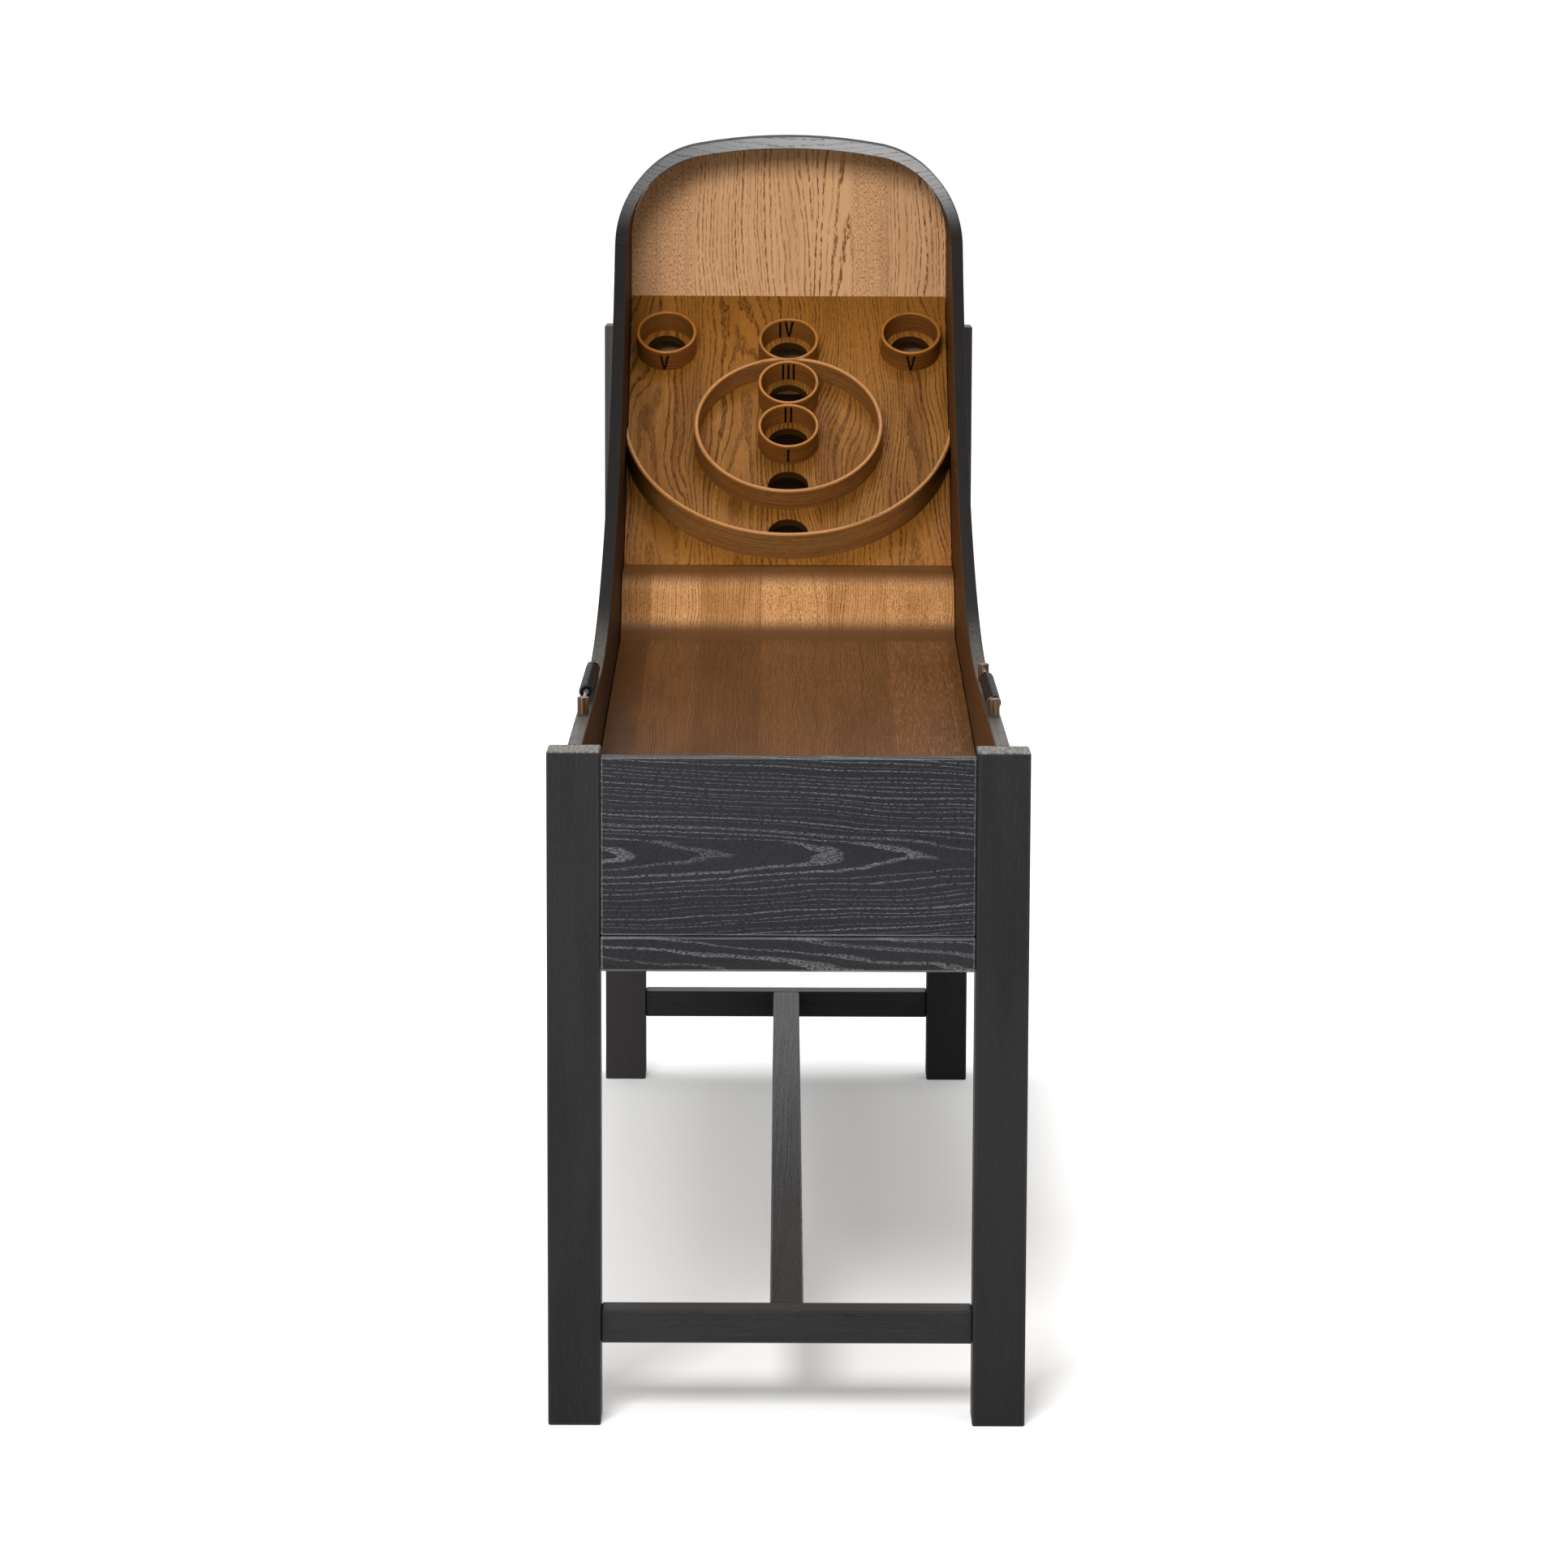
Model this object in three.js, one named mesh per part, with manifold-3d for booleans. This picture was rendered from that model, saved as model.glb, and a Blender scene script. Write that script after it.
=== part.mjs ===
// Alley roller game table: a sloping lane that throws a rolled ball over a curved ramp
// into the cups and rings of a slanted target board, with a bead scorer on each side rail.
// Millimetres. x runs to the right, y from the player to the back, z up from the floor.
// The origin is on the floor under the middle of the table.

import * as THREE from 'three';
import { mergeVertices } from 'three/addons/utils/BufferGeometryUtils.js';
import Module from 'manifold-3d';

const wasm = await Module();
wasm.setup();

// Driving dimensions of the frame

const overallWidth = 635;
const overallLength = 2352;
const legSide = 70;
const frontLegHeight = 907;
const stretcherSide = 45;
const stretcherHeight = 110;
const edgeEase = 2;

// Driving dimensions of the cabinet

const panelThickness = 20;
const cabinetDepth = 292.5;
const frontPanelSetback = 8;
const frontPanelDrop = 7;
const lowerRailSetback = 4;
const lowerRailHeight = 46.5;
const lowerRailDepth = 45;

// Driving dimensions of the swept side edge and the arched hood

const lowerSweepShare = 3.2513;
const lowerSweepAngle = 21.9;
const upperSweepShare = 2.4095;
const edgeAngle = 48.8;
const archCornerRadius = 165;
const archDomeRadius = 886;
const archRise = 101.2;
const hoodRoofDepth = 130;
const backPostDrop = 48.8;
const backPanelThickness = 12;
const backPanelInset = 5;

// Driving dimensions of the lane, the ramp and the ball return

const playingBoardThickness = 18;
const playingEdgeGap = 1.5;
const laneAngle = 3.5;
const trayLength = 122;
const rampHollowRadius = 100;
const rampCrestRadius = 70;
const rampSteepAngle = 65;
const lipLength = 86;
const lipRise = 50;
const bearerWidth = 20;
const bearerHeight = 30;
const bearerFrontInset = 12;
const returnThickness = 12;
const chuteAngle = 2.2;
const chuteTail = 20;
const chuteBearerInset = 60;
const dropSpace = 70;

// Driving dimensions of the target board, its cups and its rings

const targetThickness = 15;
const targetLength = 635.6;
const targetAngle = 41.1;
const cleatSide = 20;
const cleatFrontInset = 30;
const cupRadius = 51.4;
const cupWall = 5.6;
const cupHeight = 42.4;
const rimEase = 1.4;
const holeRadius = 34;
const ringRadius = 159.5;
const ringWall = 8;
const ringHeight = 42;
const ringCentreShare = 0.45;
const arcHeight = 57;
const arcOverreach = 8;
const arcEndWall = 1.5;
const arcFoot = 13;
const cupTwoShare = 0.4434;
const cornerCupShare = 0.793;
const cornerCupInset = 62;
const ringHoleStep = 101.8;
const arcHoleShare = 0.1101;

// Driving dimensions of the bead scorers

const scorerPostRadius = 7.9;
const scorerPostHeight = 25.4;
const scorerBackMargin = 48;
const rodRadius = 2.5;
const rodDrop = 7.9;
const rodSeatDepth = 5;
const beadCount = 11;
const beadRadius = 10.2;
const beadLength = 23.7;
const beadEase = 2.2;
const beadTravel = 104;

// Clearances

const fitGap = 0.3;
const cutOverrun = 5;

// Smoothness of round shapes, in segments

const sweepSegments = 14;
const archSegments = 10;
const cupSegments = 32;
const ringSegments = 56;
const beadSegments = 16;

// Finishes

function finish(color, roughness, metalness) {
  return new THREE.MeshStandardMaterial({ color, roughness, metalness });
}

const blackOak = finish('#2f3030', 0.55, 0);
const laneOak = finish('#5d3d24', 0.45, 0);
const rampOak = finish('#a9793f', 0.45, 0);
const targetOak = finish('#8a5c2b', 0.5, 0);
const panelOak = finish('#a67c50', 0.5, 0);
const cupOak = finish('#7d532a', 0.45, 0);
const hiddenOak = finish('#5a4430', 0.7, 0);
const bronze = finish('#6f5c48', 0.4, 0.85);
const steel = finish('#b4aea6', 0.3, 0.9);
const blackIron = finish('#26272a', 0.4, 0.6);

// Helpers: angles, solids and the two ways that an outline is given its thickness

const rightAngle = 90;
const straightAngle = 180;
const radians = THREE.MathUtils.degToRad;
const sine = (degrees) => Math.sin(radians(degrees));
const cosine = (degrees) => Math.cos(radians(degrees));
const tangent = (degrees) => Math.tan(radians(degrees));
const quarterTurn = Math.PI / 2;

const table = new THREE.Group();
table.position.y = -overallLength / 2;

function addPiece(name, geometry, material, parent = table) {
  const mesh = new THREE.Mesh(geometry, material);
  mesh.name = name;
  parent.add(mesh);
  return mesh;
}

function toSolid(geometry) {
  const bare = geometry.clone();
  for (const name of Object.keys(bare.attributes)) {
    if (name !== 'position') bare.deleteAttribute(name);
  }
  const merged = mergeVertices(bare);
  const vertProperties = new Float32Array(merged.attributes.position.array);
  const triVerts = new Uint32Array(merged.index.array);
  return new wasm.Manifold(new wasm.Mesh({ numProp: 3, vertProperties, triVerts }));
}

function toGeometry(solid) {
  const { vertProperties, triVerts } = solid.getMesh();
  const geometry = new THREE.BufferGeometry();
  geometry.setAttribute('position', new THREE.BufferAttribute(vertProperties, 3));
  geometry.setIndex(new THREE.BufferAttribute(triVerts, 1));
  geometry.computeVertexNormals();
  return geometry;
}

function cutAway(geometry, ...cutters) {
  let solid = toSolid(geometry);
  for (const cutter of cutters) solid = solid.subtract(toSolid(cutter));
  return toGeometry(solid);
}

function polygon(points) {
  return new THREE.Shape(points.map(([a, b]) => new THREE.Vector2(a, b)));
}

function thicken(shape, thickness, ease) {
  const eased = {
    depth: thickness - 2 * ease,
    bevelEnabled: true,
    bevelThickness: ease,
    bevelSize: ease,
    bevelOffset: -ease,
    bevelSegments: 1,
  };
  const plain = { depth: thickness, bevelEnabled: false };
  const settings = { ...(ease ? eased : plain), curveSegments: cupSegments };
  const geometry = new THREE.ExtrudeGeometry(shape, settings);
  return geometry.translate(0, 0, ease);
}

// An outline drawn on the table's side, y to the back and z up, and its extent across the table
function acrossTable(shape, left, right, ease = 0) {
  const basis = new THREE.Matrix4().makeBasis(
    new THREE.Vector3(0, 1, 0),
    new THREE.Vector3(0, 0, 1),
    new THREE.Vector3(1, 0, 0),
  );
  return thicken(shape, right - left, ease).applyMatrix4(basis).translate(left, 0, 0);
}

// An outline drawn on the table's front, x to the right and z up, and its extent along the table
function alongTable(shape, front, back, ease = 0) {
  return thicken(shape, back - front, ease).rotateX(quarterTurn).translate(0, back, 0);
}

// A board with eased edges between two opposite corners
function board([left, front, bottom], [right, back, top], ease = edgeEase) {
  const outline = polygon([
    [left + ease, bottom],
    [right - ease, bottom],
    [right, bottom + ease],
    [right, top - ease],
    [right - ease, top],
    [left + ease, top],
    [left, top - ease],
    [left, bottom + ease],
  ]);
  return alongTable(outline, front, back, ease);
}

// A plain block between two opposite corners, for cuts and hidden battens
function block([left, front, bottom], [right, back, top]) {
  const outline = polygon([[left, bottom], [right, bottom], [right, top], [left, top]]);
  return alongTable(outline, front, back);
}

// A ring-shaped wall standing on z = 0, with an eased rim
function roundWall(outerRadius, wall, height, segments) {
  const innerRadius = outerRadius - wall;
  const profile = [
    [innerRadius, 0],
    [outerRadius, 0],
    [outerRadius, height - rimEase],
    [outerRadius - rimEase, height],
    [innerRadius + rimEase, height],
    [innerRadius, height - rimEase],
    [innerRadius, 0],
  ].map(([radius, z]) => new THREE.Vector2(radius, z));
  return new THREE.LatheGeometry(profile, segments).rotateX(quarterTurn);
}

// Places along an arc, from one angle to another, in degrees from the outline's first axis
function arcPoints([centreA, centreB], radius, fromAngle, toAngle, segments) {
  const points = [];
  for (let i = 0; i <= segments; i += 1) {
    const angle = fromAngle + ((toAngle - fromAngle) * i) / segments;
    points.push([centreA + radius * cosine(angle), centreB + radius * sine(angle)]);
  }
  return points;
}

// Legs, back posts and the stretcher frame between them

const outerHalf = overallWidth / 2;
const innerHalf = outerHalf - legSide;
const backLegFront = overallLength - legSide;
const panelMargin = (legSide - panelThickness) / 2;
const sideOuter = outerHalf - panelMargin;
const sideInner = sideOuter - panelThickness;

// The target board's top edge sets the height of the back posts and of the arch
const lipHeight = frontLegHeight + lipRise;
const targetTop = lipHeight + targetLength * sine(targetAngle);
const backPostHeight = targetTop - backPostDrop;
const archSpring = targetTop + archRise;

// The edge of each side is level at the front, sweeps up in two arcs, then runs straight to the hood
const edgeRise = archSpring - frontLegHeight;
const lowerSweepRadius = edgeRise * lowerSweepShare;
const upperSweepRadius = edgeRise * upperSweepShare;
const lowerSweepRise = lowerSweepRadius * (1 - cosine(lowerSweepAngle));
const upperSweepRise = upperSweepRadius * (cosine(lowerSweepAngle) - cosine(edgeAngle));
const straightRise = edgeRise - lowerSweepRise - upperSweepRise;

const archCornerCentre = sideOuter - archCornerRadius;
const domeToCorner = archDomeRadius - archCornerRadius;
const domeCentre = archSpring - Math.sqrt(domeToCorner ** 2 - archCornerCentre ** 2);
const domeHalfAngle = THREE.MathUtils.radToDeg(Math.asin(archCornerCentre / domeToCorner));
const hoodTop = domeCentre + archDomeRadius;

const hoodTopFront = overallLength - hoodRoofDepth;
const archSpringFront = hoodTopFront - (hoodTop - archSpring) / tangent(edgeAngle);
const sweepTopFront = archSpringFront - straightRise / tangent(edgeAngle);
const upperSweepRun = upperSweepRadius * (sine(edgeAngle) - sine(lowerSweepAngle));
const lowerSweepRun = lowerSweepRadius * sine(lowerSweepAngle);
const levelEnd = sweepTopFront - upperSweepRun - lowerSweepRun;

function addLegs() {
  for (const [side, sign] of [['left', -1], ['right', 1]]) {
    const left = sign < 0 ? -outerHalf : innerHalf;
    const right = left + legSide;
    const front = board([left, 0, 0], [right, legSide, frontLegHeight]);
    addPiece(`front_${side}_leg`, front, blackOak);
    const back = board([left, backLegFront, 0], [right, overallLength, backPostHeight]);
    addPiece(`back_${side}_post`, back, blackOak);
  }
}

function addStretchers() {
  const inset = (legSide - stretcherSide) / 2;
  const top = stretcherHeight + stretcherSide;
  const half = innerHalf - fitGap;
  for (const [place, front] of [['front', inset], ['back', backLegFront + inset]]) {
    const geometry = board(
      [-half, front, stretcherHeight],
      [half, front + stretcherSide, top],
    );
    addPiece(`${place}_stretcher`, geometry, blackOak);
  }
  const centre = board(
    [-stretcherSide / 2, inset + stretcherSide + fitGap, stretcherHeight],
    [stretcherSide / 2, backLegFront + inset - fitGap, top],
  );
  addPiece('centre_stretcher', centre, blackOak);
}

// Cabinet: side panels, front panel, lower rails and the panels that close the back

const cabinetBottom = frontLegHeight - cabinetDepth;
const lowerRailTop = cabinetBottom + lowerRailHeight;

function addSidePanels() {
  const lowerCentre = [levelEnd, frontLegHeight + lowerSweepRadius];
  const upperCentre = [
    levelEnd + lowerSweepRun - upperSweepRadius * sine(lowerSweepAngle),
    frontLegHeight + lowerSweepRise + upperSweepRadius * cosine(lowerSweepAngle),
  ];
  const start = -rightAngle;
  const bend = start + lowerSweepAngle;
  const end = start + edgeAngle;
  const lowerSweep = arcPoints(lowerCentre, lowerSweepRadius, start, bend, sweepSegments);
  const upperSweep = arcPoints(upperCentre, upperSweepRadius, bend, end, sweepSegments);
  const postFace = backLegFront - fitGap;
  const outline = polygon([
    [legSide + fitGap, cabinetBottom],
    [postFace, cabinetBottom],
    [postFace, backPostHeight + fitGap],
    [overallLength, backPostHeight + fitGap],
    [overallLength, archSpring - fitGap],
    [archSpringFront, archSpring - fitGap],
    ...upperSweep.reverse(),
    ...lowerSweep.reverse().slice(1),
    [legSide + fitGap, frontLegHeight],
  ]);
  addPiece('left_side_panel', acrossTable(outline, -sideOuter, -sideInner), blackOak);
  addPiece('right_side_panel', acrossTable(outline, sideInner, sideOuter), blackOak);
}

function addFrontPanel() {
  const half = innerHalf - fitGap;
  const panel = board(
    [-half, frontPanelSetback, lowerRailTop + fitGap],
    [half, frontPanelSetback + panelThickness, frontLegHeight - frontPanelDrop],
  );
  addPiece('front_panel', panel, blackOak);
}

function addLowerRails() {
  const half = innerHalf - fitGap;
  const backRailEnd = overallLength - lowerRailSetback;
  const rails = [
    ['front_lower_rail', lowerRailSetback],
    ['back_lower_rail', backRailEnd - lowerRailDepth],
  ];
  for (const [name, front] of rails) {
    const geometry = board(
      [-half, front, cabinetBottom],
      [half, front + lowerRailDepth, lowerRailTop],
    );
    addPiece(name, geometry, blackOak);
  }
}

function addRearAccessPanel() {
  const half = innerHalf - fitGap;
  const back = overallLength - frontPanelSetback;
  const panel = board(
    [-half, back - panelThickness, lowerRailTop + fitGap],
    [half, back, backPostHeight],
  );
  addPiece('rear_access_panel', panel, blackOak);
}

// The arch's outline from its right spring point over to its left one, moved inwards by an inset
function archCurve(inset) {
  const corner = archCornerRadius - inset;
  const cornerEnd = rightAngle - domeHalfAngle;
  const farCornerEnd = straightAngle - cornerEnd;
  const centre = [archCornerCentre, archSpring];
  const mirrored = [-archCornerCentre, archSpring];
  const dome = archDomeRadius - inset;
  const right = arcPoints(centre, corner, 0, cornerEnd, archSegments);
  const top = arcPoints([0, domeCentre], dome, cornerEnd, farCornerEnd, archSegments);
  const left = arcPoints(mirrored, corner, farCornerEnd, straightAngle, archSegments);
  return [...right, ...top.slice(1), ...left.slice(1)];
}

function addArchHood() {
  const outline = polygon([...archCurve(0), ...archCurve(panelThickness).reverse()]);
  const band = alongTable(outline, archSpringFront, overallLength);
  const reach = overallLength - archSpringFront + cutOverrun;
  const rise = reach * tangent(edgeAngle);
  const frontCut = polygon([
    [archSpringFront - cutOverrun, archSpring - cutOverrun * tangent(edgeAngle)],
    [archSpringFront + reach, archSpring + rise],
    [archSpringFront - cutOverrun, archSpring + rise],
  ]);
  const half = outerHalf;
  const hood = cutAway(band, acrossTable(frontCut, -half, half));
  addPiece('arch_hood', hood, blackOak);
}

const backPanelBack = overallLength - backPanelInset;
const backPanelFront = backPanelBack - backPanelThickness;

function addUpperBackPanel() {
  const inset = panelThickness + fitGap;
  const half = sideOuter - inset;
  const bottom = backPostHeight + fitGap;
  const outline = polygon([[-half, bottom], [half, bottom], ...archCurve(inset)]);
  const panel = alongTable(outline, backPanelFront, backPanelBack);
  addPiece('upper_back_panel', panel, panelOak);
}

// Playing surfaces: the lane, and the ramp whose lip meets the foot of the target board

const boardHalf = sideInner - playingEdgeGap;
const targetFoot = backPanelFront - fitGap - targetLength * cosine(targetAngle);
const lipFront = targetFoot - fitGap - lipLength;
const crestRise = rampCrestRadius * (1 - cosine(rampSteepAngle));
const crestRun = rampCrestRadius * sine(rampSteepAngle);
const hollowRise = rampHollowRadius * (cosine(laneAngle) - cosine(rampSteepAngle));
const hollowRun = rampHollowRadius * (sine(rampSteepAngle) - sine(laneAngle));
const rampFoot = lipFront - crestRun - hollowRun;
const rampFootHeight = lipHeight - crestRise - hollowRise;
const trayBack = frontPanelSetback + panelThickness + trayLength;
const laneHeight = (y) => rampFootHeight - (rampFoot - y) * tangent(laneAngle);

// The ramp's face from its foot to the end of its lip, moved down into the wood by a depth
function rampCurve(depth) {
  const hollowCentre = [
    rampFoot - rampHollowRadius * sine(laneAngle),
    rampFootHeight + rampHollowRadius * cosine(laneAngle),
  ];
  const crestCentre = [lipFront, lipHeight - rampCrestRadius];
  const foot = laneAngle - rightAngle;
  const steep = rampSteepAngle - rightAngle;
  const crestFoot = rightAngle + rampSteepAngle;
  const hollow = rampHollowRadius + depth;
  const crest = rampCrestRadius - depth;
  return [
    ...arcPoints(hollowCentre, hollow, foot, steep, archSegments),
    ...arcPoints(crestCentre, crest, crestFoot, rightAngle, archSegments).slice(1),
    [targetFoot - fitGap, lipHeight - depth],
  ];
}

function addLaneBoard() {
  const dip = playingBoardThickness * sine(laneAngle);
  const drop = playingBoardThickness * cosine(laneAngle);
  const end = rampFoot - fitGap;
  const outline = polygon([
    [trayBack, laneHeight(trayBack)],
    [trayBack + dip, laneHeight(trayBack) - drop],
    [end + dip, laneHeight(end) - drop],
    [end, laneHeight(end)],
  ]);
  addPiece('lane_board', acrossTable(outline, -boardHalf, boardHalf), laneOak);
}

function addLaunchRamp() {
  const outline = polygon([...rampCurve(playingBoardThickness), ...rampCurve(0).reverse()]);
  addPiece('launch_ramp', acrossTable(outline, -boardHalf, boardHalf), rampOak);
}

// A shaped bearer screwed to each side panel carries the lane and the ramp
function addLaneBearers() {
  const top = playingBoardThickness + fitGap;
  const bottom = top + bearerHeight;
  const front = trayBack + bearerFrontInset;
  const under = (y, depth) => laneHeight(y) - depth / cosine(laneAngle);
  const outline = polygon([
    [front, under(front, bottom)],
    ...rampCurve(bottom),
    ...rampCurve(top).reverse(),
    [front, under(front, top)],
  ]);
  const outer = sideInner - fitGap;
  const inner = outer - bearerWidth;
  addPiece('left_lane_bearer', acrossTable(outline, -outer, -inner), hiddenOak);
  addPiece('right_lane_bearer', acrossTable(outline, inner, outer), hiddenOak);
}

// Target board: everything on it is drawn on a flat board and then tilted as a group

const targetGroup = new THREE.Group();
targetGroup.position.set(0, targetFoot, lipHeight);
targetGroup.rotation.x = radians(targetAngle);
table.add(targetGroup);

const cupStep = 2 * cupRadius + fitGap;
const cupTwoPlace = targetLength * cupTwoShare;
const cupThreePlace = cupTwoPlace + cupStep;
const cupFourPlace = cupThreePlace + cupStep;
const cornerCupPlace = targetLength * cornerCupShare;
const cornerCupSpread = boardHalf - cornerCupInset;
const cupPlaces = [
  ['cup_two', 0, cupTwoPlace],
  ['cup_three', 0, cupThreePlace],
  ['cup_four', 0, cupFourPlace],
  ['left_cup_five', -cornerCupSpread, cornerCupPlace],
  ['right_cup_five', cornerCupSpread, cornerCupPlace],
];
const ringCentre = targetLength * ringCentreShare;
const ringHolePlace = cupTwoPlace - ringHoleStep;
const arcReach = boardHalf - fitGap;
const arcRadius = boardHalf + arcOverreach;
const arcCentre = arcFoot + arcRadius;
const arcHolePlace = targetLength * arcHoleShare;

function addTargetBoard() {
  const outline = polygon([
    [-boardHalf, 0],
    [boardHalf, 0],
    [boardHalf, targetLength + targetThickness],
    [-boardHalf, targetLength + targetThickness],
  ]);
  const holes = [...cupPlaces, ['ring_hole', 0, ringHolePlace], ['arc_hole', 0, arcHolePlace]];
  for (const [, x, along] of holes) {
    const hole = new THREE.Path();
    hole.absarc(x, along, holeRadius, 0, 2 * Math.PI);
    outline.holes.push(hole);
  }
  const plate = thicken(outline, targetThickness, 0).translate(0, 0, -targetThickness);

  // The top edge is sawn upright against the back panel and notched round the back posts
  const toBoard = new THREE.Matrix4().makeRotationX(-radians(targetAngle));
  const behind = backPanelFront - fitGap - targetFoot;
  const far = 2 * targetLength;
  const sawCut = block([-outerHalf, behind, -far], [outerHalf, behind + far, far]);
  const postTop = backPostHeight + fitGap - lipHeight;
  const postFront = backLegFront - fitGap - targetFoot;
  const notches = [-outerHalf, innerHalf - fitGap].map((left) => {
    const right = left + legSide + fitGap;
    return block([left, postFront, -far], [right, postFront + far, postTop]);
  });
  const cutters = [sawCut, ...notches].map((cutter) => cutter.applyMatrix4(toBoard));
  addPiece('target_board', cutAway(plate, ...cutters), targetOak, targetGroup);
}

function addCups() {
  for (const [name, x, along] of cupPlaces) {
    const cup = addPiece(
      name,
      roundWall(cupRadius, cupWall, cupHeight - fitGap, cupSegments),
      cupOak,
      targetGroup,
    );
    cup.position.set(x, along, fitGap);
  }
}

// The full ring is notched where it passes between cups three and four
function addInnerRing() {
  const ring = roundWall(ringRadius, ringWall, ringHeight - fitGap, ringSegments);
  const notches = [cupThreePlace, cupFourPlace].map((along) => {
    const notch = new THREE.CylinderGeometry(
      cupRadius + fitGap,
      cupRadius + fitGap,
      ringHeight + 2 * cutOverrun,
      cupSegments,
    );
    return notch.rotateX(quarterTurn).translate(0, along - ringCentre, ringHeight / 2);
  });
  const mesh = addPiece('inner_ring', cutAway(ring, ...notches), cupOak, targetGroup);
  mesh.position.set(0, ringCentre, fitGap);
}

// The outer rail curves below the cups, and each end dies into a side panel
function addOuterArc() {
  const ring = roundWall(arcRadius, ringWall, arcHeight - fitGap, ringSegments);
  const innerRadius = arcRadius - ringWall;
  const endPlace = -Math.sqrt(innerRadius ** 2 - (arcReach - arcEndWall) ** 2);
  const far = arcRadius + cutOverrun;
  const top = arcHeight + cutOverrun;
  const upperPart = block([-far, endPlace, -cutOverrun], [far, far, top]);
  const beyondLeft = block([-far, -far, -cutOverrun], [-arcReach, far, top]);
  const beyondRight = block([arcReach, -far, -cutOverrun], [far, far, top]);
  const rail = cutAway(ring, upperPart, beyondLeft, beyondRight);
  const mesh = addPiece('outer_arc_rail', rail, cupOak, targetGroup);
  mesh.position.set(0, arcCentre, fitGap);
}

function addTargetCleats() {
  const top = -targetThickness - fitGap;
  const bottom = top - cleatSide;
  const room = backLegFront - fitGap - targetFoot + bottom * sine(targetAngle);
  const end = room / cosine(targetAngle);
  const outer = sideInner - fitGap;
  const inner = outer - cleatSide;
  const left = block([-outer, cleatFrontInset, bottom], [-inner, end, top]);
  addPiece('left_target_cleat', left, hiddenOak, targetGroup);
  const right = block([inner, cleatFrontInset, bottom], [outer, end, top]);
  addPiece('right_target_cleat', right, hiddenOak, targetGroup);
}

// Ball return: a drop board under the target board, and a chute under the lane to the tray

const chuteFront = frontPanelSetback + panelThickness + fitGap;
const chuteFrontTop = lowerRailTop + fitGap + returnThickness * cosine(chuteAngle);
const chuteTop = (y) => chuteFrontTop + (y - chuteFront) * tangent(chuteAngle);
const dropFace = targetThickness + dropSpace;
const dropLine = {
  y: targetFoot + (dropFace + returnThickness) * sine(targetAngle),
  z: lipHeight - (dropFace + returnThickness) * cosine(targetAngle),
};
const dropFootRise = dropLine.z - chuteTop(dropLine.y) - fitGap;
const dropFoot = -dropFootRise / (sine(targetAngle) - cosine(targetAngle) * tangent(chuteAngle));
const dropFootPlace = dropLine.y + dropFoot * cosine(targetAngle);
const chuteBack = dropFootPlace + chuteTail;

function addBallDropBoard() {
  const end = (backLegFront - fitGap - dropLine.y) / cosine(targetAngle);
  const top = -dropFace;
  const geometry = block(
    [-boardHalf, dropFoot, top - returnThickness],
    [boardHalf, end, top],
  );
  addPiece('ball_drop_board', geometry, hiddenOak, targetGroup);
}

function addBallReturnChute() {
  const narrow = innerHalf - fitGap;
  const notch = (legSide + fitGap - chuteFront) / cosine(chuteAngle);
  const length = (chuteBack - chuteFront) / cosine(chuteAngle);
  const outline = polygon([
    [-narrow, 0],
    [narrow, 0],
    [narrow, notch],
    [boardHalf, notch],
    [boardHalf, length],
    [-boardHalf, length],
    [-boardHalf, notch],
    [-narrow, notch],
  ]);
  const chute = addPiece(
    'ball_return_chute',
    thicken(outline, returnThickness, 0),
    hiddenOak,
  );
  const dip = returnThickness * sine(chuteAngle);
  chute.position.set(0, chuteFront + dip, lowerRailTop + fitGap);
  chute.rotation.x = radians(chuteAngle);
}

function addChuteBearer() {
  const front = chuteBack - chuteBearerInset - bearerWidth;
  const under = returnThickness / cosine(chuteAngle);
  const top = chuteTop(front) - under - fitGap;
  const half = sideInner - fitGap;
  const geometry = block([-half, front, top - stretcherSide], [half, front + bearerWidth, top]);
  addPiece('chute_bearer', geometry, hiddenOak);
}

// Bead scorers: two posts and a rod on each side rail, with a row of sliding beads

const beadPitch = beadLength + fitGap;
const scorerSpan = beadCount * beadPitch + fitGap + beadTravel;
const backScorerPost = levelEnd - scorerBackMargin - scorerPostRadius;
const frontScorerPost = backScorerPost - scorerSpan - 2 * scorerPostRadius;
const sideMiddle = (sideInner + sideOuter) / 2;
const rodHeight = frontLegHeight + fitGap + scorerPostHeight - rodDrop;

function rodAlong(radius, front, back) {
  const rod = new THREE.CylinderGeometry(radius, radius, back - front, beadSegments);
  return rod.translate(0, (front + back) / 2, 0);
}

function addScorerFrame(side, x) {
  const rodFront = frontScorerPost + scorerPostRadius - rodSeatDepth;
  const rodBack = backScorerPost - scorerPostRadius + rodSeatDepth;
  const seat = rodAlong(rodRadius + fitGap, rodFront - fitGap, rodBack + fitGap);
  seat.translate(x, 0, rodHeight);
  for (const [end, place] of [['front', frontScorerPost], ['back', backScorerPost]]) {
    const profile = [
      [0, 0],
      [scorerPostRadius, 0],
      [scorerPostRadius, scorerPostHeight - rimEase],
      [scorerPostRadius - rimEase, scorerPostHeight],
      [0, scorerPostHeight],
    ].map(([radius, z]) => new THREE.Vector2(radius, z));
    const post = new THREE.LatheGeometry(profile, beadSegments).rotateX(quarterTurn);
    post.translate(x, place, frontLegHeight + fitGap);
    addPiece(`${side}_${end}_scorer_post`, cutAway(post, seat), bronze);
  }
  const rod = rodAlong(rodRadius, rodFront, rodBack);
  addPiece(`${side}_scorer_rod`, rod.translate(x, 0, rodHeight), steel);
}

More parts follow.
